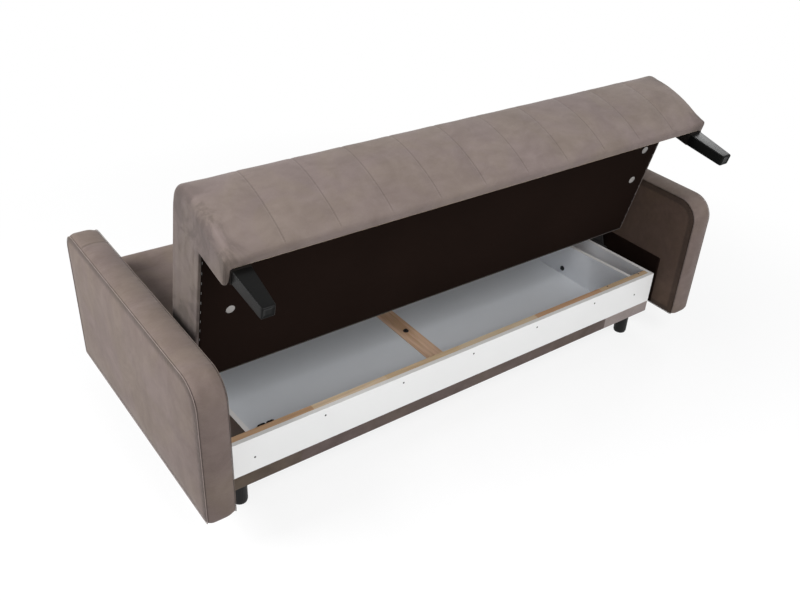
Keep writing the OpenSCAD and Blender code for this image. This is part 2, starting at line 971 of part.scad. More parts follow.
// Steel arm screwed to the end of the back frame
module back_arm(s) {
    e = plate_edge;
    reach = 120;
    low = back_bottom + 8;
    high = back_bottom + frame_top - 8;
    color(steel) back_side(s) difference() {
        along_x(pin_in, arm_plate_out) {
            polygon([[-e, 0], [-e - 8, high], [-e - 8, low], [reach, low], [reach, high], [e, 0]]);
            circle(r = e);
        }
        rod_x(pin_in - 1, arm_plate_out + 1, 0, 0, pin_d + 2 * run);
    }
}

module back_arm_left() {
    back_arm(-1);
}

module back_arm_right() {
    back_arm(1);
}

front_board();
front_batten();
front_screws();
base_rail();
plinth_left();
plinth_middle();
plinth_right();
end_board_left();
end_board_right();
inner_side_board_left();
inner_side_board_right();
rear_board();
rear_rest_rail();
floor_panel_left();
floor_panel_right();
center_crossbar();
box_bolts();
floor_pads();
base_feet();
arm_spacers();
arm_bolts();
arm_frame_left();
arm_frame_right();
arm_outer_panel_left();
arm_outer_panel_right();
arm_inner_panel_left();
arm_inner_panel_right();
arm_band_left();
arm_band_right();
arm_lining_left();
arm_lining_right();
slide_plate_left();
slide_plate_right();
slide_plate_screws();
carriage_left();
carriage_right();
slide_studs();
seat_pivot_pins();
back_pivot_pins();
seat_arm_left();
seat_arm_right();
seat_frame();
seat_webbing();
seat_pad();
fascia_board();
fascia_pad();
fascia_return_left();
fascia_return_right();
seat_lining();
lining_staples();
vent_buttons();
seat_leg_left();
seat_leg_right();
leg_blocks();
back_frame();
back_webbing();
back_pad();
back_lining();
back_arm_left();
back_arm_right();
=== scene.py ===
import math

import bmesh
import bpy
import numpy as np
from mathutils import Matrix, Vector


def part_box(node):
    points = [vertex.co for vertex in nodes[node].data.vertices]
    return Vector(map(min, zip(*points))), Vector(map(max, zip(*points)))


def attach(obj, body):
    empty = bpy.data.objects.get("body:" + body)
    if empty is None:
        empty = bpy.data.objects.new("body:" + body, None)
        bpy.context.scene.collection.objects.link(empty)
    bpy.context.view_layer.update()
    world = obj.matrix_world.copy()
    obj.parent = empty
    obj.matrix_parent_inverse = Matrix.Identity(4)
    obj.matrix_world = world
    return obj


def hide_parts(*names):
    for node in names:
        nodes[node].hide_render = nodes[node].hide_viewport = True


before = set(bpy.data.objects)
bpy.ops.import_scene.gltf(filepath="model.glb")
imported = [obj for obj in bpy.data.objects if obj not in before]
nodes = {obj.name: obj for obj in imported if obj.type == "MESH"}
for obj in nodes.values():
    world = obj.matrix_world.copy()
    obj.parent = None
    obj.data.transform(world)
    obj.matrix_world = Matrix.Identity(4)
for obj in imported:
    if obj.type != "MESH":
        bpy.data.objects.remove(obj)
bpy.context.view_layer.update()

# ---- camera ----
# A three-quarter view from the sofa's front left and from above standing height, with the
# camera rolled by about three degrees.
heading, dip, roll = (math.radians(angle) for angle in (37.73, 32.84, 3.19))
look = Vector((math.sin(heading) * math.cos(dip), math.cos(heading) * math.cos(dip), -math.sin(dip)))
level = Vector((math.cos(heading), -math.sin(heading), 0))
above = level.cross(look)
across = level * math.cos(roll) + above * math.sin(roll)
upright = -level * math.sin(roll) + above * math.cos(roll)
lens = bpy.data.cameras.new("camera")
lens.lens, lens.sensor_width = 39.6, 36
camera = bpy.data.objects.new("camera", lens)
camera.matrix_world = Matrix.Translation((-1.782, -2.2293, 2.131)) @ Matrix(
    (across, upright, -look)).transposed().to_4x4()
bpy.context.scene.collection.objects.link(camera)
bpy.context.scene.camera = camera
bpy.context.scene.view_settings.view_transform = "Standard"

# ---- floor and light ----
# A pale seamless floor that keeps the sofa's soft shadow and turns white away from it, under a
# pale sky. Broad lamps stand high on the left, in front and high in front, and a small one behind
# on the right glints on the legs; the raised seat shades the right arm's inner side.


def add(tree, kind, inputs=(), **settings):
    """A node of that kind; inputs maps a socket to a value or to another node's output."""
    made = tree.nodes.new("ShaderNode" + kind)
    for key, value in settings.items():
        setattr(made, key, value)
    for key, value in dict(inputs).items():
        if isinstance(value, bpy.types.NodeSocket):
            tree.links.new(value, made.inputs[key])
        else:
            made.inputs[key].default_value = value
    return made


def calc(tree, operation, *values):
    """The result of a Math node on those values."""
    return add(tree, "Math", dict(enumerate(values)), operation=operation).outputs[0]


def ramped(tree, value, low, high, first=0.0, last=1.0, kind="LINEAR"):
    """first where the value is up to low, last from high on, and a change from one to the other."""
    return add(tree, "MapRange", {0: value, 1: low, 2: high, 3: first, 4: last},
               interpolation_type=kind).outputs[0]


def mixed(tree, share, first, second, mode="MIX"):
    """Two colours, each (red, green, blue) or a socket, blended by that share."""
    first, second = ((*c, 1) if isinstance(c, tuple) else c for c in (first, second))
    return add(tree, "Mix", {0: share, 6: first, 7: second}, data_type="RGBA", blend_type=mode).outputs[2]


def noise(tree, at, scale, detail, **more):
    """The value of a noise texture at those coordinates."""
    return add(tree, "TexNoise", {"Vector": at, "Scale": scale, "Detail": detail, **more}).outputs["Fac"]


def paint(name):
    """A new material: the material, its node tree, its principled shader and the coordinates of the
    object that it is on."""
    made = bpy.data.materials.new(name)
    made.use_nodes = True
    tree = made.node_tree
    return made, tree, tree.nodes["Principled BSDF"], add(tree, "TexCoord").outputs["Object"]


def dress(tree, shader, colour, gloss, height, strength, distance, more=()):
    """Gives a shader its colour and roughness, a bump of that height, and more values by socket."""
    for key, value in dict(more).items():
        shader.inputs[key].default_value = value
    bump = add(tree, "Bump", {"Strength": strength, "Distance": distance, "Height": height})
    for key, value in (("Base Color", colour), ("Roughness", gloss), ("Normal", bump.outputs[0])):
        tree.links.new(value, shader.inputs[key])


def surface(name, patches, material, crisp=40, wrap=(False, True)):
    """One mesh from grids of points, each nu by nv by 3. Every four neighbours make a quad, and the
    grid closes on itself in the directions that wrap names, as a ring does in its second. Points that
    coincide, as at a pole, become one, faces turn outwards, and edges sharper than crisp degrees stay
    sharp."""
    points, quads, first = [], [], 0
    for p in patches:
        nu, nv = p.shape[:2]
        i = np.arange(nu if wrap[0] else nu - 1)[:, None]
        j = np.arange(nv if wrap[1] else nv - 1)[None, :]
        k, l = (i + 1) % nu, (j + 1) % nv
        corners = np.broadcast_arrays(i * nv + j, k * nv + j, k * nv + l, i * nv + l)
        quads.append(first + np.stack(corners, -1).reshape(-1, 4))
        points.append(p.reshape(-1, 3))
        first += nu * nv
    mesh = bpy.data.meshes.new(name)
    mesh.from_pydata(np.concatenate(points), [], np.concatenate(quads).tolist())
    b = bmesh.new()
    b.from_mesh(mesh)
    bmesh.ops.remove_doubles(b, verts=b.verts, dist=1e-6)
    bmesh.ops.recalc_face_normals(b, faces=b.faces)
    b.to_mesh(mesh)
    b.free()
    mesh.shade_smooth()
    mesh.set_sharp_from_angle(angle=math.radians(crisp))
    mesh.materials.append(material)
    o = bpy.data.objects.new(name, mesh)
    bpy.context.scene.collection.objects.link(o)
    return o


def pale_ray(tree):
    """1 for rays from the camera, and for those that metal or glass sends on, else 0."""
    path = add(tree, "LightPath").outputs
    some = calc(tree, "MAXIMUM", path["Is Camera Ray"], path["Is Glossy Ray"])
    return calc(tree, "MAXIMUM", some, path["Is Transmission Ray"])


sky = bpy.data.worlds.new("sky")
bpy.context.scene.world = sky
sky.use_nodes = True
tree = sky.node_tree
soft = add(tree, "Background", {"Color": (0.95, 0.97, 1.0, 1), "Strength": 0.26})
white = add(tree, "Background", {"Color": (1, 1, 1, 1), "Strength": 1.0})
either = add(tree, "MixShader", {0: pale_ray(tree), 1: soft.outputs[0], 2: white.outputs[0]})
tree.links.new(either.outputs[0], tree.nodes["World Output"].inputs["Surface"])

pale_floor, tree, shader, at = paint("pale_floor")
shader.inputs["Roughness"].default_value = 0.9
shader.inputs["Specular IOR Level"].default_value = 0.1
seen = pale_ray(tree)
tone = mixed(tree, seen, (0.42, 0.42, 0.42), (0.95, 0.95, 0.95))
tree.links.new(tone, shader.inputs["Base Color"])
glow = add(tree, "Emission", {"Color": (1, 1, 1, 1), "Strength": 1.0})
apart = add(tree, "VectorMath", {0: at}, operation="LENGTH").outputs["Value"]
share = calc(tree, "MULTIPLY", seen, ramped(tree, apart, 1.4, 2.5, 0.8, 1.0))
either = add(tree, "MixShader", {0: share, 1: shader.outputs[0], 2: glow.outputs[0]})
tree.links.new(either.outputs[0], tree.nodes["Material Output"].inputs["Surface"])
side, below = np.linspace(-16, 16, 9), -0.0004
ground = np.stack([*np.meshgrid(side, side, indexing="ij"), np.full((9, 9), below)], -1)
floor = surface("floor", [ground], pale_floor, wrap=(False, False))


def lamp(name, at, aim, width, watts):
    """A square soft lamp at one point, turned to another."""
    light = bpy.data.lights.new(name, "AREA")
    light.shape, light.size, light.energy = "SQUARE", width, watts
    o = bpy.data.objects.new(name, light)
    way = (Vector(aim) - Vector(at)).to_track_quat("-Z", "Y").to_matrix().to_4x4()
    o.matrix_world = Matrix.Translation(at) @ way
    bpy.context.scene.collection.objects.link(o)


lamp("left_lamp", (-4.2, 0.9, 3.3), (0, 0, 0.4), 2.4, 250)
lamp("front_lamp", (0.1, -4.5, 2.0), (0, 0, 0.4), 2.6, 84)
lamp("high_lamp", (-0.1, -3.2, 3.8), (0, 0, 0.4), 2.0, 84)
lamp("rear_lamp", (4.2, 0.8, 3.2), (0.9, -0.5, 0.9), 1.0, 30)

# ---- box boards ----
# Chipboard with a white laminate on both faces and a greyer strip ironed on the cut edges.
# The front board, both ends, the rear and the two inner sides are screwed together as a tray.
# The inner sides have the floor's bluish face inwards and bare chipboard towards the ends.


def laminate(name, dark, pale, outward=None):
    """Pebbled laminate between two tones, a speckled grey strip on the upper cut edge, and the two
    outward tones, if given, on the faces that look away from the sofa's middle along x."""
    made, tree, shader, at = paint(name)
    facing = add(tree, "SeparateXYZ", {0: at.node.outputs["Normal"]}).outputs
    smudge = noise(tree, at, 3.1, 4)
    speck = add(tree, "TexVoronoi", {"Vector": at, "Scale": 420}).outputs["Distance"]
    chip = mixed(tree, speck, (0.70, 0.69, 0.675), (0.78, 0.765, 0.75))
    cut = calc(tree, "GREATER_THAN", facing["Z"], 0.7)
    colour = mixed(tree, cut, mixed(tree, smudge, dark, pale), chip)
    if outward:
        away = calc(tree, "MULTIPLY", facing["X"], add(tree, "SeparateXYZ", {0: at}).outputs["X"])
        colour = mixed(tree, calc(tree, "GREATER_THAN", away, 0.5), colour, mixed(tree, speck, *outward))
    dress(tree, shader, colour, ramped(tree, smudge, 0, 1, 0.34, 0.52), noise(tree, at, 650, 2), 0.12, 0.0004)
    return made


def coat(material, *names):
    """Gives carried CAD pieces their material."""
    for name in names:
        nodes[name].data.materials.clear()
        nodes[name].data.materials.append(material)


whites, blues = ((0.80, 0.80, 0.795), (0.87, 0.868, 0.86)), ((0.83, 0.855, 0.90), (0.88, 0.905, 0.95))
bare = (0.30, 0.20, 0.135), (0.46, 0.32, 0.23)
coat(laminate("white_laminate", *whites), "front_board", "rear_board")
coat(laminate("two_sided_laminate", *blues, outward=whites), "end_board_left", "end_board_right")
coat(laminate("bare_backed_laminate", *blues, outward=bare),
     "inner_side_board_left", "inner_side_board_right")

# ---- floor of the box ----
# Two panels of thin fibreboard with a pale bluish-grey face, resting on the rails and on the
# middle bar. Their lacquer is faintly uneven.
floor_board, tree, shader, at = paint("floor_panel")
cloud = noise(tree, at, 2.3, 5, Roughness=0.6)
tone = mixed(tree, cloud, (0.665, 0.69, 0.72), (0.75, 0.775, 0.81))
dress(tree, shader, tone, ramped(tree, cloud, 0, 1, 0.42, 0.6), noise(tree, at, 300, 3), 0.15, 0.0003)
coat(floor_board, "floor_panel_left", "floor_panel_right")

# ---- pine ----
# Planed, untreated softwood: the batten behind the front board is finger-jointed from short
# lengths of different colour, and the rails, the middle bar and the frames are plain.


def timber(name, pale, dark, grain, joints=()):
    """Softwood. grain is the scale of the figure in x, y and z, small along the piece's own length:
    noise stretched that way gives the year rings, finer noise the pores, and joints give the tone of
    each length from there on."""
    made, tree, shader, at = paint(name)
    along = add(tree, "Mapping", {"Vector": at, "Scale": grain}).outputs[0]
    rings = add(tree, "ValToRGB", {0: noise(tree, along, 2.4, 3, Distortion=0.5)})
    for stop, place, tone in zip(rings.color_ramp.elements, (0.38, 0.62), (pale, dark)):
        stop.position, stop.color = place, (*tone, 1)
    pores = add(tree, "TexNoise", {"Vector": along, "Scale": 22, "Detail": 2}).outputs
    colour = mixed(tree, 0.25, rings.outputs[0], pores["Color"], "SOFT_LIGHT")
    if joints:
        x = add(tree, "SeparateXYZ", {0: at}).outputs["X"]
        lengths = add(tree, "ValToRGB", {0: ramped(tree, x, -1.0, 1.0)})
        ramp = lengths.color_ramp
        ramp.interpolation = "CONSTANT"
        for k, (start, tone) in enumerate(joints):
            stop = ramp.elements[k] if k < 2 else ramp.elements.new((start + 1) / 2)
            stop.position, stop.color = (start + 1) / 2, (*tone, 1)
        colour = mixed(tree, 1.0, colour, lengths.outputs[0], "MULTIPLY")
    dress(tree, shader, colour, ramped(tree, pores["Fac"], 0, 1, 0.5, 0.75), pores["Fac"], 0.3, 0.0006)
    return made


pale_pine, dark_pine = (0.66, 0.52, 0.38), (0.54, 0.40, 0.27)
batten_tones = ((-1.0, (0.78, 0.63, 0.51)), (-0.659, (0.98, 0.98, 0.95)), (-0.372, (0.88, 0.84, 0.74)),
                (-0.05, (0.90, 0.90, 0.84)), (0.326, (0.76, 0.58, 0.46)), (0.679, (0.84, 0.78, 0.68)))
along_x, along_y = (1.6, 26, 34), (20, 1.6, 34)
coat(timber("long_pine", pale_pine, dark_pine, along_x),
     "base_rail", "rear_rest_rail", "seat_frame", "fascia_board", "back_frame")
coat(timber("cross_pine", (0.80, 0.56, 0.40), (0.56, 0.34, 0.205), along_y),
     "center_crossbar", "arm_frame_left", "arm_frame_right")
coat(timber("jointed_pine", pale_pine, dark_pine, along_x, batten_tones), "front_batten")

# ---- screws and bolts ----
# Zinc-plated wood screws with a cross recess hold the front board to the batten, and bolts with
# round heads hold the side boards, the middle bar and the arms. The front screws' heads and the box
# bolts are painted near black: painted shade for the shade in the screws' countersunk holes.


def lit(tone, by):
    """A colour made paler or darker."""
    return tuple(by * c for c in tone)


def metal(name, tone, rough, metallic=1.0):
    """Plated or painted steel: a mottled tone, brushed roughness and a fine bump."""
    made, tree, shader, at = paint(name)
    mottle = noise(tree, at, 120, 4)
    colour = mixed(tree, mottle, lit(tone, 0.72), tone)
    gloss = ramped(tree, mottle, 0, 1, rough - 0.08, rough + 0.1)
    dress(tree, shader, colour, gloss, noise(tree, at, 1400, 1), 0.2, 0.0002, {"Metallic": metallic})
    return made


def turned(profile, spokes, at, axis, relief=None, ribs=None):
    """A solid of revolution: profile rows are (radius, height along axis), carried round the axis in
    so many spokes. relief adds to the height as a function of radius and angle, ribs to the radius."""
    axis = np.array(axis, float)
    e = np.cross(axis, (0, 0, 1) if abs(axis[2]) < 0.9 else (1, 0, 0))
    e /= np.linalg.norm(e)
    f = np.cross(axis, e)
    r, h = np.array(profile, float).T[:, :, None]
    a = np.linspace(0, 2 * np.pi, spokes, endpoint=False)[None, :]
    h = h + (relief(r, a, h) if relief else 0 * a)
    r = r + (ribs(r, a, h) if ribs else 0 * a)
    middle = np.array(at) + h[..., None] * axis
    return middle + (r * np.cos(a))[..., None] * e + (r * np.sin(a))[..., None] * f


def cross_recess(r, a, h):
    """A cross 1.4 mm deep sunk in the middle of a screw's head."""
    arms = np.exp(-(r * np.sin(2 * a) / 0.0007) ** 2) * np.clip(1 - r / 0.0026, 0, 1)
    return -0.0014 * arms * (h > 0.001)


zinc = metal("zinc_steel", (0.74, 0.75, 0.76), 0.34)
shade_dark_zinc = metal("dark_zinc_steel", (0.020, 0.020, 0.021), 0.5, metallic=0.2)
head_profile = [(0.002, 0), (0.0034, 0), (0.0035, 0.0003), (0.0032, 0.0008), (0.0026, 0.0012),
                (0.0022, 0.0014), (0.0016, 0.0015), (0.001, 0.0015), (0.0005, 0.0015), (0, 0.0015)]
screw_profile = [(0, -0.026), (0.0009, -0.022), (0.002, -0.018), *head_profile]
board_low, board_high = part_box("front_board")
pitch, row_height = 0.312, 0.272
screw_at = [(pitch * k, row_height) for k in (-2, -1, 0, 1, 2)] + [(-0.881, 0.222), (0.869, 0.230)]
heads = [turned(screw_profile, 40, (x, board_low.y, z), (0, -1, 0), cross_recess) for x, z in screw_at]
screws = surface("front_screw_heads", heads, shade_dark_zinc, crisp=35)
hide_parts("front_screws")
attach(screws, "base")
# Two more go down into the batten beside the right-hand boards, and one into the front board's end.
low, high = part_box("front_batten")
extra_at = (((0.726, high.y - 0.006, high.z), (0, 0, 1)), ((0.913, high.y - 0.006, high.z), (0, 0, 1)),
            ((board_high.x, board_low.y + 0.008, 0.228), (1, 0, 0)))
heads = [turned(head_profile, 40, at, axis, cross_recess) for at, axis in extra_at]
extra = surface("board_screw_heads", heads, shade_dark_zinc, crisp=35)
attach(extra, "base")
coat(shade_dark_zinc, "box_bolts")
coat(zinc, "arm_bolts", "slide_plate_screws", "slide_studs", "seat_pivot_pins", "back_pivot_pins")
coat(metal("dull_zinc_steel", (0.30, 0.30, 0.30), 0.5, metallic=0.7), "lining_staples")

# ---- plinth strips ----
# Thin strips wrapped in the sofa's own cloth and stapled under the front board. The right one is
# much paler than the other two, because the nap on it lies the other way.


def velvet(name, pale, dark, seams=None):
    """Short dense pile. Noise lays the nap into paler and darker clouds and tints it mauve or brown,
    stretched noise brushes it, fast noise is the pile itself, and a sheen lights it at a shallow
    angle. With seams "seat", the attribute sewn is (length, depth, height) in metres on the flat
    pattern. It draws the channels 175 mm apart as lines of painted shade, each with a painted
    highlight on its rim and fine stitches, and the seam where the side panel meets the front one as
    painted shade too. It paints shade on the side panels, darker towards the rear edge, and on the
    hem under the rear edge, and lays the nap darker in clouds near the ends. With seams "arm", sewn
    is (distance from the band's seams, distance from its cross seam, 1 on the outer panel or 2 on the
    inner one). It draws both seams as lines of painted shade with the puckers beside them, paints
    shade on the panel's side of them, and tints the inner panels darker and browner as painted shade."""
    made, tree, shader, at = paint(name)
    cloud = noise(tree, at, 6.5, 6, Roughness=0.62, Distortion=1.2)
    brushed = add(tree, "Mapping", {"Vector": at, "Rotation": (0.5, 0.3, 0.2), "Scale": (14, 30, 22)})
    streak = noise(tree, brushed.outputs[0], 1.3, 4, Distortion=0.6)
    stroked = ramped(tree, streak, 0.3, 0.7, -0.22, 0.22)
    nap = ramped(tree, calc(tree, "ADD", ramped(tree, cloud, 0.30, 0.68), stroked), 0, 1)
    turn = ramped(tree, noise(tree, at, 5.0, 4, Distortion=0.8), 0.4, 0.6)
    tint = mixed(tree, turn, (1.0, 0.972, 1.015), (1.0, 0.98, 0.95))
    pile = noise(tree, at, 900, 2, Roughness=0.7)
    tips = ramped(tree, pile, 0.25, 0.75, 0.82, 1.16)

    def times(first, second):
        return mixed(tree, 1.0, first, second, "MULTIPLY")

    def both(first, second):
        return calc(tree, "MULTIPLY", first, second)

    def either(first, second):
        return calc(tree, "MAXIMUM", first, second)

    def off(value, pitch, start):
        """Distance in metres from the nearest of the lines that lie pitch apart from start. A pitch
        wider than the sofa leaves a single line."""
        share = calc(tree, "FRACT", calc(tree, "MULTIPLY_ADD", value, 1 / pitch, 0.5 - start / pitch))
        return both(calc(tree, "ABSOLUTE", calc(tree, "SUBTRACT", share, 0.5)), pitch)

    def within(value, near, far, inner=1.0, outer=0.0):
        """The inner value up to near, then turning to the outer one at far."""
        return ramped(tree, value, near, far, inner, outer, "SMOOTHSTEP")

    def factor(mask, there):
        """1 where the mask is 0, and the other value where it is 1."""
        return within(mask, 0.0, 1.0, 1.0, there)

    colour, height = times(times(mixed(tree, nap, dark, pale), tint), tips), pile
    if seams:
        sewn = add(tree, "Attribute", attribute_name="sewn").outputs["Vector"]
        part, stitch = add(tree, "SeparateXYZ", {0: sewn}).outputs, 0.0045
    if seams == "seat":
        x, deep, up = calc(tree, "ABSOLUTE", part["X"]), part["Y"], part["Z"]
        above_hem = both(ramped(tree, up, -0.141, -0.130), ramped(tree, deep, 0.03, 0.05))
        channels = both(within(x, 0.86, 0.861), above_hem)
        pitch, first_line, first_rim = 0.175, 0.0875, 0.0835
        alone, panel_start, panel_seam = 4.0, 0.9695, 0.532
        across = off(part["X"], pitch, first_line)
        end = within(off(x, alone, panel_start), 0.012, 0.016)
        edge = both(within(off(deep, alone, panel_seam), 0.0006, 0.003), end)
        # Painted shade: line darkens each channel and the seam at the side panel's front edge, as shade lying
        # in the crease.
        line = either(both(within(across, 0.0010, 0.0028), channels), both(edge, 0.5))
        beside = either(both(within(across, 0.002, 0.030), channels), edge)
        # Painted highlight: rim lightens a thin strip beside each channel, as light catching the channel's
        # edge.
        rim = both(within(off(part["X"], pitch, first_rim), 0.0008, 0.0022), channels)
        stitches = within(off(calc(tree, "SUBTRACT", deep, up), stitch, 0.0), 0.0010, 0.0014)
        thread = both(both(within(across, 0.0002, 0.0005), channels), stitches)
        # Painted shade: the side panels are darkened, most towards the rear edge, where the arm shades them.
        on_panel = within(x, 0.948, 0.967, 0.0, 1.0)
        side_shade = both(on_panel, within(deep, 0.08, 0.45, 0.44, 0.27))
        # Painted shade: the turned-under hem along the underside's rear edge is darkened to three tenths.
        hem = both(within(deep, 0.008, 0.013), within(up, 0.002, 0.006))
        worn = both(within(x, 0.875, 0.955, 0.0, 1.0), within(cloud, 0.40, 0.56))
        shade = both(both(ramped(tree, side_shade, 0, 1, 1, 0), factor(hem, 0.3)), factor(worn, 0.80))
        shade = both(shade, factor(rim, 1.10))
        line_shade, gather_scale = 0.75, (9, 90, 90)
    elif seams == "arm":
        seam, cross, panel = part["X"], calc(tree, "ABSOLUTE", part["Y"]), part["Z"]
        # Painted shade: line darkens both seams and the cross seam, and shade darkens each panel beside its
        # seam, where it curves away from the light.
        line = either(within(seam, 0.0015, 0.0045), within(cross, 0.0018, 0.006))
        beside = either(within(seam, 0.004, 0.045), within(cross, 0.002, 0.03))
        thread = both(within(cross, 0.0003, 0.0008), within(off(seam, stitch, 0.0), 0.0014, 0.0018))
        # Painted shade: the inner panels are tinted darker and browner, for the raised seat's shadow on the
        # right arm's inner side.
        inner = mixed(tree, within(panel, 1.0, 2.0, 0.0, 1.0), (1, 1, 1), (0.60, 0.50, 0.42))
        shade = times(factor(both(within(seam, 0.005, 0.034), panel), 0.60), inner)
        line_shade, gather_scale = 0.70, (13, 105, 105)
    if seams:
        gather_at = add(tree, "Mapping", {"Vector": at, "Scale": gather_scale})
        pucker = both(calc(tree, "SUBTRACT", noise(tree, gather_at.outputs[0], 1.0, 2), 0.5), beside)
        colour = times(times(colour, factor(line, line_shade)), shade)
        colour = mixed(tree, thread, colour, lit(pale, 1.1))
        height = calc(tree, "MULTIPLY_ADD", line, -2.5, height)
        height = calc(tree, "MULTIPLY_ADD", pucker, 16.0, height)
    dress(tree, shader, colour, ramped(tree, nap, 0, 1, 0.94, 0.78), height, 0.35, 0.0004,
          {"Specular IOR Level": 0.25, "Sheen Weight": 0.18, "Sheen Roughness": 0.42,
           "Sheen Tint": (0.95, 0.9, 0.88, 1)})
    return made


def ripple(a, b, seed, count, least, most):
    """Sum of count plane waves over the plane (a, b), each of its own direction and wavelength from
    least to most, scaled to about -1 to 1."""
    rng = np.random.default_rng(seed)
    way = rng.uniform(0, np.pi, count)
    size = 2 * np.pi / rng.uniform(least, most, count)
    late = rng.uniform(0, 2 * np.pi, count)
    across = a[..., None] * np.cos(way) + b[..., None] * np.sin(way)
    return np.sin(across * size + late).sum(-1) / math.sqrt(count)


left_cloth = velvet("plinth_cloth_left", (0.108, 0.083, 0.064), (0.074, 0.056, 0.043))
middle_cloth = velvet("plinth_cloth_middle", (0.116, 0.089, 0.079), (0.086, 0.065, 0.056))
right_cloth = velvet("plinth_cloth_right", (0.300, 0.262, 0.245), (0.245, 0.210, 0.192))
for part, cloth in (("left", left_cloth), ("middle", middle_cloth), ("right", right_cloth)):
    low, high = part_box("plinth_" + part)
    fold, step = 0.0012, 0.012
    along = np.linspace(low.x + fold, high.x - fold, max(8, round((high.x - low.x) / step)))
    x = np.array([low.x, *along, high.x])[:, None]
    face = np.linspace(low.z + 0.003, high.z - 0.003, 9)
    ring_y = np.array([high.y, low.y + fold, *[low.y] * 9, low.y + fold, high.y])
    ring_z = np.array([low.z, low.z, *face, high.z, high.z])
    y = np.repeat(ring_y[None], len(x), 0)
    taper = np.clip(np.minimum(x - low.x, high.x - x) / step, 0, 1)
    y[:, 2:11] += 0.0009 * (1 - taper) - 0.0005 * ripple(x, face, 5, 9, 0.03, 0.12) * taper
    shell = np.stack(np.broadcast_arrays(x, y, ring_z), -1)
    ends = [np.repeat(shell[k:k + 1].mean(1, keepdims=True), len(ring_y), 1) for k in (0, -1)]
    rings = np.concatenate([ends[0], shell, ends[1]])
    strip = surface("plinth_strip_" + part, [rings], cloth)
    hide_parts("plinth_" + part)
    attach(strip, "base")

# ---- feet, spacers and pads ----
# Black moulded plastic. The feet are ribbed tubes with a narrower sole, four under the corners
# and one under the middle bar; the spacers hold the arms off the box, and two round pads lie in
# its front left corner.


def plastic(name, tone, rough, shine=0.16, grit=0.25):
    """Moulded plastic: an even tone with slight flow marks, and a fine matt grain of that grit."""
    made, tree, shader, at = paint(name)
    flow = noise(tree, at, 18, 3)
    colour = mixed(tree, flow, lit(tone, 0.8), lit(tone, 1.2))
    gloss = ramped(tree, flow, 0, 1, rough - 0.06, rough + 0.1)
    dress(tree, shader, colour, gloss, noise(tree, at, 1100, 1), grit, 0.0003, {"Specular IOR Level": shine})
    return made


black_plastic = plastic("black_plastic", (0.0095, 0.009, 0.0088), 0.42)
coat(black_plastic, "arm_spacers")
foot_radius = 0.0265


def foot(x, y, top):
    """A tube of 53 mm on a 49 mm sole, with rounded edges; 28 ribs 0.8 mm deep run up its side."""
    r, end = foot_radius, 0.010
    profile = [(0, 0), (0.0235, 0), (0.0243, 0.0008), (0.0245, 0.006), (0.0253, 0.006), (0.0263, 0.007),
               (r, end), (r, end + 0.004), (r, top - end - 0.004), (r, top - end), (r, top - 0.0006),
               (0.0262, top - 0.0001), (0, top)]

    def ribs(r, a, h):
        return -0.0008 * (0.5 - 0.5 * np.cos(28 * a)) * (h > end + 0.002) * (h < top - end - 0.002)

    return turned(profile, 168, (x, y, 0), (0, 0, 1), ribs=ribs)


low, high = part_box("base_feet")
foot_x, rows = high.x - foot_radius, (low.y + foot_radius, high.y - foot_radius)
feet_at = [(way * foot_x, y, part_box("floor_panel_left")[0].z) for way in (-1, 1) for y in rows]
feet_at.append((0, board_low.y + 0.400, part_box("center_crossbar")[0].z))
feet = surface("ribbed_feet", [foot(*place) for place in feet_at], black_plastic, crisp=50)
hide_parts("base_feet")
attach(feet, "base")


def squarish(r, a, h):
    """Turns a circle into a square with round corners: r / (cos^4 + sin^4)^(1/4)."""
    return r / (np.cos(a) ** 4 + np.sin(a) ** 4) ** 0.25 - r


low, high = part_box("floor_pads")
r, h = (high.y - low.y) / 2, high.z - low.z
pad_profile = [(0, 0), (r - 0.001, 0), (r, 0.001), (r, h - 0.005), (r - 0.0015, h - 0.0018), (r - 0.005, h),
               (0.007, h), (0.006, h - 0.001), (0.0045, h - 0.004), (0, h - 0.004)]
both_pads = [turned(pad_profile, 64, (x, low.y + r, low.z), (0, 0, 1), ribs=squarish)
             for x in (low.x + r, high.x - r)]
pads = surface("round_pads", both_pads, black_plastic, crisp=50)
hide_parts("floor_pads")
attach(pads, "base")

# ---- arms ----
# Each arm is a timber frame under a sewn cover: two side panels and a band 100 mm wide between
# them, joined by a corded seam along both edges, with a cross seam in the band near the rear.
arm_cloth = velvet("velvet_arms", (0.175, 0.138, 0.119), (0.143, 0.111, 0.095), seams="arm")
# The cords are one velvet in two tones: the inner cord is painted shade, for the shadow along the arm's inner
# edge, and the outer cord a painted highlight, for light catching its seam.
shaded_inner_piping = velvet("velvet_inner_piping", (0.150, 0.118, 0.100), (0.120, 0.093, 0.080))
lit_outer_piping = velvet("velvet_outer_piping", (0.290, 0.240, 0.214), (0.235, 0.192, 0.170))


def coords(o):
    """A mesh object's points as rows of x, y and z."""
    co = np.zeros(len(o.data.vertices) * 3, np.float32)
    o.data.vertices.foreach_get("co", co)
    return co.reshape(-1, 3).astype(float)


def place_at(o, points):
    """Moves a mesh object's points there."""
    o.data.vertices.foreach_set("co", points.astype(np.float32).ravel())
    o.data.update()


def sew(o, rows):
    """Writes the attribute sewn, three numbers for each point, for the cloth's seams."""
    attribute = o.data.attributes.new("sewn", "FLOAT_VECTOR", "POINT")
    attribute.data.foreach_set("vector", rows.astype(np.float32).ravel())


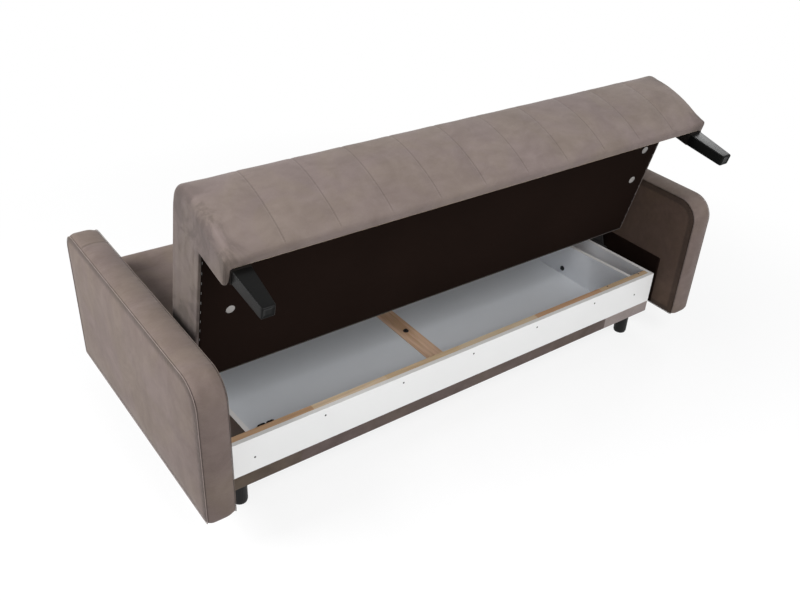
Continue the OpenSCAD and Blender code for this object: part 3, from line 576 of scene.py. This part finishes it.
def puff(o, held, reach, pressure):
    """Blows a sewn cover up from inside: Cloth with pressure, no gravity, and the points held at the
    seams and staples pinned. After 20 frames each point has moved by d, and keeps
    reach * tanh(d / reach). One level of subdivision follows, the same in view and render."""
    start = coords(o)
    pins = o.vertex_groups.new(name="held")
    pins.add(np.flatnonzero(held).tolist(), 1.0, "REPLACE")
    cloth = o.modifiers.new("cloth", "CLOTH")
    for key, value in (("vertex_group_mass", "held"), ("quality", 4), ("mass", 0.3),
                       ("tension_stiffness", 12), ("compression_stiffness", 12), ("shear_stiffness", 6),
                       ("bending_stiffness", 0.6), ("use_pressure", True),
                       ("uniform_pressure_force", pressure)):
        setattr(cloth.settings, key, value)
    cloth.settings.effector_weights.gravity = 0
    cloth.collision_settings.use_collision = False
    for moment in range(1, 21):
        bpy.context.scene.frame_set(moment)
    blown = o.evaluated_get(bpy.context.evaluated_depsgraph_get())
    after = np.zeros(len(start) * 3, np.float32)
    blown.data.vertices.foreach_get("co", after)
    o.modifiers.remove(cloth)
    o.vertex_groups.remove(pins)
    bpy.context.scene.frame_set(1)
    move = after.reshape(-1, 3).astype(float) - start
    size = np.linalg.norm(move, axis=1, keepdims=True) + 1e-9
    limit = np.maximum(np.broadcast_to(reach, (len(start),))[:, None], 1e-6)
    place_at(o, start + move * (limit * np.tanh(size / limit) / size))
    smooth = o.modifiers.new("smooth", "SUBSURF")
    smooth.levels = smooth.render_levels = 1


def from_border(a, b):
    """How far each point of a grid over a rectangle (a, b) lies from the grid's border."""
    return np.minimum(np.minimum(a - a.min(), a.max() - a), np.minimum(b - b.min(), b.max() - b))


def arc_factor(a, b):
    """In the square of a round corner a point lies at (a, b) from the arc's centre, as shares of its
    radius. max(a, b) / |(a, b)| times that turns the square's outer sides into the arc."""
    return np.maximum(a, b) / np.maximum(np.hypot(a, b), 1e-9)


def arm_plane(y0, y1, z0, z1, front_r, rear_r, low_r, ny, nz):
    """A grid over an arm's side outline, with round corners; the top rises 9 mm towards the rear.
    Also returns each point's distance from the outline."""
    y, z = np.meshgrid(np.linspace(y0, y1, ny), np.linspace(z0, z1, nz), indexing="ij")
    rim = from_border(y, z)
    for edge, way, floor, up, r in ((y0, 1, z1, 1, front_r), (y1, -1, z1, 1, rear_r),
                                    (y0, 1, z0, -1, low_r), (y1, -1, z0, -1, low_r)):
        a, b = np.clip((edge + way * r - y) * way / r, 0, 1), np.clip(1 - (floor - z) * up / r, 0, 1)
        inside, bent = (a > 0) & (b > 0), arc_factor(a, b)
        y = np.where(inside, edge + way * r - way * r * a * bent, y)
        z = np.where(inside, floor + up * r * (b * bent - 1), z)
    rearward = np.clip((y - y0 - front_r) / (y1 - y0 - front_r), 0, 1)
    return y, z + 0.009 * (rearward * np.clip((z - z0) / (z1 - z0) * 2 - 1, 0, 1)), rim


def outline_of(g):
    """The border of a grid of points, once round."""
    return np.concatenate([g[:-1, 0], g[-1, :-1], g[:0:-1, -1], g[0, :0:-1]])


def tube(path, radius, sides):
    """A round cord along a closed path: at each point a circle across the path's direction."""
    way = np.roll(path, -1, 0) - np.roll(path, 1, 0)
    way /= np.linalg.norm(way, axis=1, keepdims=True)
    out = np.cross(way, (1.0, 0, 0))
    a = np.linspace(0, 2 * np.pi, sides, endpoint=False)[None, :, None]
    return path[:, None] + radius * (np.cos(a) * out[:, None] + np.sin(a) * np.array((1.0, 0, 0)))


for end, way in (("left", -1), ("right", 1)):
    low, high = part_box("arm_band_" + end)
    x_in, x_out = (abs(v) for v in sorted((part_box("arm_inner_panel_" + end)[way < 0].x,
                                           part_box("arm_outer_panel_" + end)[way > 0].x), key=abs))
    tuck, crown = 0.004, 0.004
    y, z, rim = arm_plane(low.y + tuck, high.y - tuck, low.z + tuck, high.z - tuck,
                          front_r=0.084, rear_r=0.066, low_r=0.006, ny=91, nz=47)
    round_off = tuck * np.exp(-(rim / 0.012) ** 2)
    outer = np.stack([way * (x_out - round_off), y, z], -1)
    inner = np.stack([way * (x_in + round_off), y, z], -1)
    t = np.array([0, 0.04, 0.1, 0.18, 0.28, 0.4, 0.5, 0.6, 0.72, 0.82, 0.9, 0.96, 1])[:, None, None]
    band_width, inner_curve, outer_curve = 0.095, 0.016, 0.010
    hoop = outline_of(np.stack([0 * y, y, z], -1))
    step = np.roll(hoop, -1, 0) - np.roll(hoop, 1, 0)
    normal = np.cross(step / np.linalg.norm(step, axis=1, keepdims=True), (1.0, 0, 0))
    normal *= np.sign((normal * (hoop - hoop.mean(0))).sum(1, keepdims=True))
    swell = 1 - np.exp(-(t * band_width / inner_curve) ** 2)
    swell = swell * (1 - np.exp(-((1 - t) * band_width / outer_curve) ** 2))
    band = hoop[None] + (tuck + crown) * swell * normal[None]
    band[..., 0] = way * (x_in + tuck + (x_out - x_in - 2 * tuck) * t[..., 0])
    # The cover's own border loop runs round both grids, so the band gets the same loop twice.
    band_grid = np.concatenate([band, band[:, :1]], 1)
    cover = surface("arm_cover_" + end, [outer, inner, band_grid], arm_cloth, crisp=180, wrap=(False, False))
    p = coords(cover)
    x, y, z = p.T
    across = np.abs(x)
    seam = (np.abs(across - (x_out - tuck)) < 1e-5) | (np.abs(across - (x_in + tuck)) < 1e-5)
    middle, wide = (x_in + x_out) / 2, (x_out - x_in) / 2
    cross_seam, bow = 0.874, 0.006
    bowed = y - (low.y + cross_seam - bow * ((across - middle) / wide) ** 2)
    cross = (np.abs(bowed) < 0.0062) & (z > high.z - 0.03)
    lining_low, lining_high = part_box("arm_lining_" + end)
    flat = np.maximum(np.maximum(lining_low.y - y, y - lining_high.y),
                      np.maximum(lining_low.z - z, z - lining_high.z))
    inside = across < x_in + tuck + 0.001
    on_band = ~inside & (across < x_out - tuck - 1e-4)
    reach = np.where(inside, 0.006 * np.clip(flat / 0.08, 0, 1), np.where(on_band, 0.006, 0.007))
    to_hoop = np.linalg.norm(p[:, None, 1:] - hoop[None, :, 1:], axis=2).min(1)
    from_seam = np.where(on_band, wide - tuck - np.abs(across - middle), to_hoop)
    from_cross = np.where(on_band & (z > high.z - 0.04), bowed, 9.0)
    sew(cover, np.stack([from_seam, from_cross, 1.0 - on_band + inside], -1))
    puff(cover, seam | cross | (z < low.z + tuck) | (inside & (flat < 0.01)), reach, 3.0)
    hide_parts("arm_outer_panel_" + end, "arm_inner_panel_" + end, "arm_band_" + end)
    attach(cover, "base")
    for seam_side, x, out, cloth in (("inner", x_in + tuck, -1, shaded_inner_piping),
                                     ("outer", x_out - tuck, 1, lit_outer_piping)):
        proud = 0.0004
        path = hoop + proud * normal
        path[:, 0] = way * (x + out * proud)
        piping = surface(f"arm_piping_{seam_side}_{end}", [tube(path, 0.0012, 8)], cloth, crisp=180,
                         wrap=(True, True))
        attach(piping, "base")

# ---- arm linings ----
# Black non-woven cloth, stapled over the arm's inner side where it faces the box. It lies
# nearly flat, with a few shallow creases.


def lining_cloth(name, tone):
    """Bonded fibres: a regular field of small dents in a dull black cloth, with thin loose fibres."""
    made, tree, shader, at = paint(name)
    dents = add(tree, "TexVoronoi", {"Vector": at, "Scale": 520, "Randomness": 0.25}).outputs["Distance"]
    fibres = noise(tree, at, 240, 5, Distortion=1.5)
    colour = mixed(tree, noise(tree, at, 3.0, 4), lit(tone, 0.75), lit(tone, 1.3))
    dress(tree, shader, colour, ramped(tree, fibres, 0, 1, 0.8, 0.98), calc(tree, "ADD", dents, fibres),
          0.3, 0.0003, {"Specular IOR Level": 0.03})
    return made


def creases(a, b, border, share, *waves):
    """0 along the border of the sheet (a, b) and, from that far inside it, about 1: with f from 0 to 1
    over the border, f * (1 - share + share * ripple)."""
    return np.clip(from_border(a, b) / border, 0, 1) * (1 - share + share * ripple(a, b, *waves))


def sheet_of(name, points, cloth):
    """A single sheet of quads with a wall of 0.6 mm."""
    o = surface(name, [points], cloth, crisp=180, wrap=(False, False))
    wall = o.modifiers.new("wall", "SOLIDIFY")
    wall.thickness, wall.offset = 0.0006, 0
    return o


black_cloth = lining_cloth("black_lining", (0.0110, 0.0062, 0.0047))
for end, way in (("left", -1), ("right", 1)):
    low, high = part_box("arm_lining_" + end)
    y, z = np.meshgrid(np.linspace(low.y, high.y, 90), np.linspace(low.z, high.z, 28), indexing="ij")
    x = min(abs(low.x), abs(high.x)) - 0.0012 * creases(y, z, 0.03, 0.4, 3, 7, 0.08, 0.4)
    lining = sheet_of("arm_lining_cloth_" + end, np.stack([way * x, y, z], -1), black_cloth)
    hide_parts("arm_lining_" + end)
    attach(lining, "base")

# ---- slide plates, carriage and arms of the mechanism ----
# Black powder-coated steel: a slotted plate screwed to each end of the box, the carriage that
# slides on it, and the steel arms screwed to the seat and the backrest.
coat(metal("black_steel", (0.035, 0.034, 0.034), 0.5, metallic=0.4), "slide_plate_left", "slide_plate_right",
     "carriage_left", "carriage_right", "seat_arm_left", "seat_arm_right", "back_arm_left", "back_arm_right")

# ---- seat cover ----
# The seat is a foam pad on a webbed timber frame, with a deep front lip on a board. One velvet
# cover is sewn in eleven channels 175 mm wide that run over the top and the front, and is
# turned under the frame and stapled.
seat_cloth = velvet("velvet_seat", (0.190, 0.154, 0.137), (0.156, 0.125, 0.110), seams="seat")
seat_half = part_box("seat_pad")[1].x
pin = (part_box("seat_pivot_pins")[0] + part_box("seat_pivot_pins")[1]) / 2
pin_in, pin_up, lift = 0.0105, 0.156, math.radians(77)
thick, lip, nose, lip_front, rear_wide, rear_narrow = 0.172, 0.143, 0.6473, 0.6172, 0.532, 0.586


def seat_point(x, u, v):
    """A point of the seat from its length x, its depth u forwards from the rear edge and its height v
    above the underside: the seat is turned up by 77 degrees about pins 10.5 mm in and 156 mm up."""
    y, z = pin_in - u, v - pin_up
    return np.stack([x + 0 * y, pin.y + y * math.cos(lift) + z * math.sin(lift),
                     pin.z - y * math.sin(lift) + z * math.cos(lift)], -1)


def corner_loop(corners):
    """A closed outline through corners given as (u, v, radius, arc points, side points): each corner
    is an arc that touches both its sides, and the side after it is split evenly. Also returns the
    number of the corner that each point belongs to."""
    c = np.array([corner[:2] for corner in corners], float)
    arcs = []
    for k, (*_, r, m, _) in enumerate(corners):
        a, b = c[k - 1] - c[k], c[(k + 1) % len(c)] - c[k]
        a, b = a / np.linalg.norm(a), b / np.linalg.norm(b)
        half = math.acos(max(-1, min(1, a @ b))) / 2
        if r == 0 or half > 1.5:
            arcs.append(c[k][None])
            continue
        t = r / math.tan(half)
        middle = c[k] + (a + b) / np.linalg.norm(a + b) * r / math.sin(half)
        s, e, turn = c[k] + a * t - middle, c[k] + b * t - middle, math.pi - 2 * half
        w = np.linspace(0, 1, m)[:, None]
        arcs.append(middle + (np.sin((1 - w) * turn) * s + np.sin(w * turn) * e) / math.sin(turn))
    sides = [np.linspace(arcs[k][-1], arcs[(k + 1) % len(c)][0], n + 2)[1:-1]
             for k, (*_, n) in enumerate(corners)]
    kinds = [np.full(len(arc) + len(part), k) for k, (arc, part) in enumerate(zip(arcs, sides))]
    return np.concatenate([v for pair in zip(arcs, sides) for v in pair]), np.concatenate(kinds)


def inwards(loop):
    """The unit normals of a closed outline, towards its inside."""
    way = np.roll(loop, -1, 0) - np.roll(loop, 1, 0)
    n = np.stack([way[:, 1], -way[:, 0]], 1) / np.linalg.norm(way, axis=1, keepdims=True)
    x, y = loop.T
    return n if (x * np.roll(y, -1) - y * np.roll(x, -1)).sum() < 0 else -n


def evened(values, times):
    """Round the outline each value becomes the mean of itself and its neighbours, so many times."""
    for _ in range(times):
        values = (np.roll(values, 1) + values + np.roll(values, -1)) / 3
    return values


def long_cover(name, cloth, loop, flat_x, ends, end_x, heart, shares):
    """A closed cover: the same outline loop at each of flat_x, the outlines ends at end_x beyond them,
    and rings that shrink to the point heart by those shares. The other end mirrors this one."""
    one_end = ends + [ends[-1] + (heart - ends[-1]) * share for share in shares]
    end_x = end_x + [end_x[-1]] * len(shares)
    section = np.array(one_end[::-1] + [loop] * len(flat_x) + one_end)
    length = np.array([-x for x in end_x[::-1]] + [np.full(len(loop), x) for x in flat_x] + end_x)
    points = np.concatenate([length[..., None], section], -1)
    return surface(name, [points], cloth, crisp=180)


def seat_section(rear):
    """The seat's outline from the rear edge up, over the top and nose, down the front, which follows a
    circle of 500 mm radius, and back under the lip, whose rear face lies at depth rear."""
    front = [(0.160 + math.sqrt(0.25 - (v - 0.060) ** 2), v, 0, 1, 2)
             for v in (0.120, 0.090, 0.060, 0.030, 0.0, -0.030, -0.060, -0.090, -0.115)]
    return corner_loop([(0, 0, 0.005, 3, 8), (0, thick, 0.014, 5, 44), (nose, thick, 0.045, 9, 1), *front,
                        (lip_front, -lip, 0.013, 5, 3), (rear, -lip, 0.005, 3, 7), (rear, 0, 0.002, 2, 34)])


narrow, kind = seat_section(rear_narrow)
wide, _ = seat_section(rear_wide)
# ease is how far each point of the outline draws in at the seat's ends, soft where that is a bend.
top_kind, nose_kind, lip_kind, rear_kind = 1, 2, 11, 12
face = (kind >= nose_kind) & (kind <= lip_kind)
ease = np.where(face, 0.030, np.where(kind == top_kind, 0.013, 0.005))
ease[kind == nose_kind] = 0.024
ease[kind == lip_kind] = 0.018
ease = evened(ease, 3)
ease = np.where(kind >= rear_kind, np.minimum(ease, 0.010), ease)
soft = np.clip((ease - 0.012) / 0.010, 0, 1)

channel, last_line = 0.175, 0.7875
one = np.array([0, 3, 8, 18, 34, 58, 87.5, 117, 141, 157, 167, 172]) / 1000
flat_x = np.concatenate([one + k * channel for k in range(9)])
tail = np.array([0, 3, 8, 18, 34, 58, 86, 112, 132]) / 1000
flat_x = np.concatenate([-last_line - tail[:0:-1], flat_x - last_line, last_line + tail])
bend = np.radians([8, 18, 25, 38, 52, 65, 78, 90])
steep = np.radians([0, 0, 0, 0, 30, 55, 75, 90])
plain = (0.941, 0.951, 0.952)
ends, end_x = [], []
for k in range(len(bend)):
    x = np.full(len(kind), plain[k]) if k < len(plain) else seat_half - ease + ease * math.sin(steep[k])
    x = np.minimum(x, seat_half)
    end_x.append((1 - soft) * x + soft * (seat_half - ease * (1 - math.sin(bend[k]))))
    shrink = (1 - soft) * ease * (1 - math.cos(steep[k])) + soft * ease * (1 - math.cos(bend[k]))
    base = narrow if k < 2 else wide
    ends.append(base + shrink[:, None] * inwards(base))
cover = long_cover("seat_cover", seat_cloth, narrow, flat_x, ends, end_x, np.array([0.575, 0.025]),
                   (0.04, 0.12, 0.24, 0.38, 0.53, 0.68, 0.84, 1.0))
p = coords(cover)
x, u, v = p.T        # length, depth and height: views, so a change to them changes p
from_line = np.abs((x / channel) % 1 - 0.5) * channel
on_front = u > 0.60
sewn_here = np.where(on_front, np.clip((v + 0.140) / 0.014, 0, 1), np.clip((u - 0.03) / 0.04, 0, 1))
sewn_here *= ((v > 0.1) | on_front) & (np.abs(x) < 0.80)
b = bmesh.new()
b.from_mesh(cover.data)
b.verts.ensure_lookup_table()
normals = np.array([vertex.normal[:] for vertex in b.verts])
b.free()
# Over the lining the underside lies 1.6 mm higher, so that the two don't coincide.
lining_x, lining_in, lining_rise = 0.955, 0.010, 0.0016
v[(np.abs(x) < lining_x) & (u > lining_in) & (u < 0.59) & (np.abs(v) < 0.001)] += lining_rise
groove = 0.0014 * sewn_here * np.exp(-(from_line / 0.005) ** 2)
p -= groove[:, None] * normals
sew(cover, p)
# The side panels carry shallow folds along the seat's depth, and a welt stands along their upper edge.
panel = (np.abs(normals[:, 0]) > 0.9) & (np.abs(x) > 0.96)
fade = np.clip(v / 0.03, 0, 1) * np.clip((0.165 - v) / 0.03, 0, 1) * np.clip((0.58 - u) / 0.1, 0, 1)
folds = np.sin(v * 150 + 2.2 * np.sin(u * 6.1) + 1.3 * np.sin(u * 2.3 + np.sign(x)))
x += np.where(panel, np.sign(x) * 0.0012 * fade * (folds - 1), 0)
# The nose is fuller towards the left end, and the lip's lower outer corners are round.
leftward, upward = np.clip((0.5 - x) / 1.4, 0, 1), np.clip((v + 0.02) / 0.12, 0, 1)
u += 0.008 * leftward * upward * np.clip((u - 0.35) / 0.25, 0, 1)
r = 0.010
a, b = np.clip((np.abs(x) - seat_half + r) / r, 0, 1), np.clip((r - lip - v) / r, 0, 1)
cornered, bent = (a > 0) & (b > 0), arc_factor(a, b)
x[:] = np.where(cornered, np.sign(x) * (seat_half - r + r * a * bent), x)
v[:] = np.where(cornered, r - lip - r * b * bent, v)
stitched = (from_line < 0.0004) & (sewn_here > 0.12)
outside = (v > 0.15) | ((u > 0.60) & (v > -0.132))
end_margin = 0.006
held = stitched | ~outside | (np.abs(x) > seat_half - end_margin) | (u < 0.012)
reach = np.where(on_front | (v > 0.13), 0.0042, 0.003) * np.where(np.abs(x) > 0.93, 0.6, 1)
place_at(cover, p)
puff(cover, held, reach, 4.0)
place_at(cover, seat_point(*coords(cover).T))
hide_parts("seat_pad", "fascia_pad", "fascia_return_left", "fascia_return_right")
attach(cover, "seat")

# ---- seat lining ----
# The same black non-woven cloth, stretched under the seat's frame and stapled along both ends.
# It has a few long shallow folds from corner to corner.
half, rear, front = 0.9605, 0.009, 0.5858
x, u = np.meshgrid(np.linspace(-half, half, 160), np.linspace(rear, front, 60), indexing="ij")
v = 0.0001 - 0.0011 * creases(x, u, 0.05, 0.5, 12, 8, 0.12, 0.9)
lining = sheet_of("seat_lining_cloth", seat_point(x, u, v), black_cloth)
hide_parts("seat_lining")
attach(lining, "seat")

# ---- vent buttons ----
# Light grey moulded caps, 30 mm across, clipped through the lining so that the seat can breathe:
# slightly domed, with a rounded rim, a fine groove and twelve small notches round the edge.
grey_plastic = plastic("grey_plastic", (0.34, 0.325, 0.315), 0.45)
vent_profile = [(0, -0.008), (0.0068, -0.008), (0.007, -0.0076), (0.007, 0), (0.0148, 0), (0.015, 0.0003),
                (0.0149, 0.0008), (0.0143, 0.0011), (0.0134, 0.0012), (0.0131, 0.0010), (0.0128, 0.0010),
                (0.0125, 0.0013), (0.0095, 0.0015), (0.0060, 0.0016), (0.003, 0.0017), (0, 0.0017)]


def notches(r, a, h):
    """Twelve notches 0.3 mm deep in the rim."""
    return -0.0003 * np.clip(4 * np.cos(12 * a) - 3, 0, 1) * (h > 0.0004) * (r < 0.0148) * (r > 0.0132)


down = seat_point(0.0, 0.0, -1.0) - seat_point(0.0, 0.0, 0.0)
vents = surface("vent_caps", [turned(vent_profile, 96, seat_point(x, u, 0.0), down, notches)
                              for x in (0.107 - seat_half, seat_half - 0.078) for u in (0.278, 0.420)],
                grey_plastic, crisp=45)
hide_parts("vent_buttons")
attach(vents, "seat")

# ---- legs and their blocks ----
# Tapered legs moulded in black plastic with rounded edges, each bolted under a black-stained
# wooden block behind the lip.


def leg(way):
    """A rounded rectangle carried from the block down to the sole while it narrows: 57 by 44 mm at the
    top, 41 by 39 at the sole, with edges of 2.5 mm radius, a rounded sole edge and a sunk sole."""
    t = np.array([0, 0.004, 0.01, 0.2, 0.4, 0.6, 0.8, 0.94, 0.975, 0.99, 1.0])[:, None]
    drop = np.array([0.0, 0, 0, 0, 0, 0, 0, 0, 0.0004, 0.0012, 0.003])[:, None]
    outer = seat_half - (0.020 + 0.0045 * t) - drop
    inner = seat_half - (0.077 - 0.0115 * t) + drop
    front, back = rear_narrow - drop, 0.542 + 0.005 * t + drop
    r, spokes = 0.0025, 48
    quarter, step = np.arange(spokes) // 12, np.arange(spokes) % 12
    turn = (quarter + step / 11) * np.pi / 2
    x_side, u_side = np.array([1, -1, -1, 1])[quarter], np.array([1, 1, -1, -1])[quarter]
    x = (outer + inner) / 2 + x_side * ((outer - inner) / 2 - r) + r * np.cos(turn)
    u = (front + back) / 2 + u_side * ((front - back) / 2 - r) + r * np.sin(turn)
    rings = seat_point(way * x, u, np.broadcast_to(-0.150 - 0.152 * t, x.shape))
    middle = rings[-1:].mean(1, keepdims=True)
    sunk = -0.0015 * down
    sole = [middle + (rings[-1:] - middle) * share + sunk * deep
            for share, deep in ((0.9, 0), (0.84, 1), (0.4, 1), (0.0, 1))]
    return np.concatenate([np.repeat(rings[:1].mean(1, keepdims=True), spokes, 1), rings, *sole])


leg_plastic = plastic("leg_plastic", (0.0040, 0.0040, 0.0038), 0.26, shine=0.08, grit=0.06)
for end, way in (("left", -1), ("right", 1)):
    piece = surface("leg_" + end, [leg(way)], leg_plastic, crisp=60)
    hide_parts("seat_leg_" + end)
    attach(piece, "seat")
black_wood = timber("black_stained_wood", (0.012, 0.010, 0.009), (0.006, 0.005, 0.0045), along_x)
black_wood.node_tree.nodes["Principled BSDF"].inputs["Specular IOR Level"].default_value = 0.08
coat(black_wood, "leg_blocks")
for name in ("seat_webbing", "back_webbing"):
    coat(lining_cloth(name + "_belts", (0.03, 0.028, 0.026)), name)

# ---- backrest cover ----
# A plain velvet cover over a foam pad on its own webbed frame. It lies flat behind the seat in
# the bed position; its seat-side edge is rounded more than its rear edge.
back_cloth = velvet("velvet_back", (0.198, 0.155, 0.132), (0.161, 0.124, 0.105))
low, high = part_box("back_pad")
back_l, back_t = high.y - low.y, high.z - low.z
loop, kind = corner_loop([(0, 0, 0.005, 3, 10), (0, back_t, 0.042, 7, 42), (back_l, back_t, 0.016, 5, 10),
                          (back_l, 0, 0.005, 3, 44)])
ease = evened(np.where((kind <= 2) & (loop[:, 1] > 0.02), 0.020, 0.005), 4)
steep = np.radians([0, 22, 45, 68, 90])
ends = [loop + (ease * (1 - math.cos(a)))[:, None] * inwards(loop) for a in steep]
end_x = [seat_half - ease * (1 - math.sin(a)) for a in steep]
flat_x = np.linspace(-seat_half + 0.03, seat_half - 0.03, 156)
cover = long_cover("backrest_cover", back_cloth, loop, flat_x, ends, end_x,
                   np.array([back_l / 2, back_t / 2]), (0.04, 0.12, 0.25, 0.42, 0.62, 0.82, 1.0))
p = coords(cover)
x, y, z = p.T
z[(np.abs(x) < lining_x) & (y > lining_in) & (y < back_l - lining_in) & (z < 0.001)] += lining_rise
held = (np.abs(x) > seat_half - end_margin) | (z < 0.1) | (y < 0.001) | (y > back_l - 0.001)
place_at(cover, p)
puff(cover, held, np.where(z > 0.14, 0.012, 0.004), 3.0)
place_at(cover, coords(cover) + (0, low.y, low.z))
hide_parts("back_pad")
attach(cover, "backrest")

# ---- backrest lining ----
# The same black non-woven cloth again, stretched under the backrest's frame. Like the seat's
# lining it has a few long shallow folds.
low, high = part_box("back_lining")
x, y = np.meshgrid(np.linspace(low.x, high.x, 150), np.linspace(low.y, high.y, 46), indexing="ij")
z = low.z - 0.0002 - 0.001 * creases(x, y, 0.05, 0.5, 21, 8, 0.12, 0.9)
lining = sheet_of("backrest_lining_cloth", np.stack([x, y, z], -1), black_cloth)
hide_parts("back_lining")
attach(lining, "backrest")
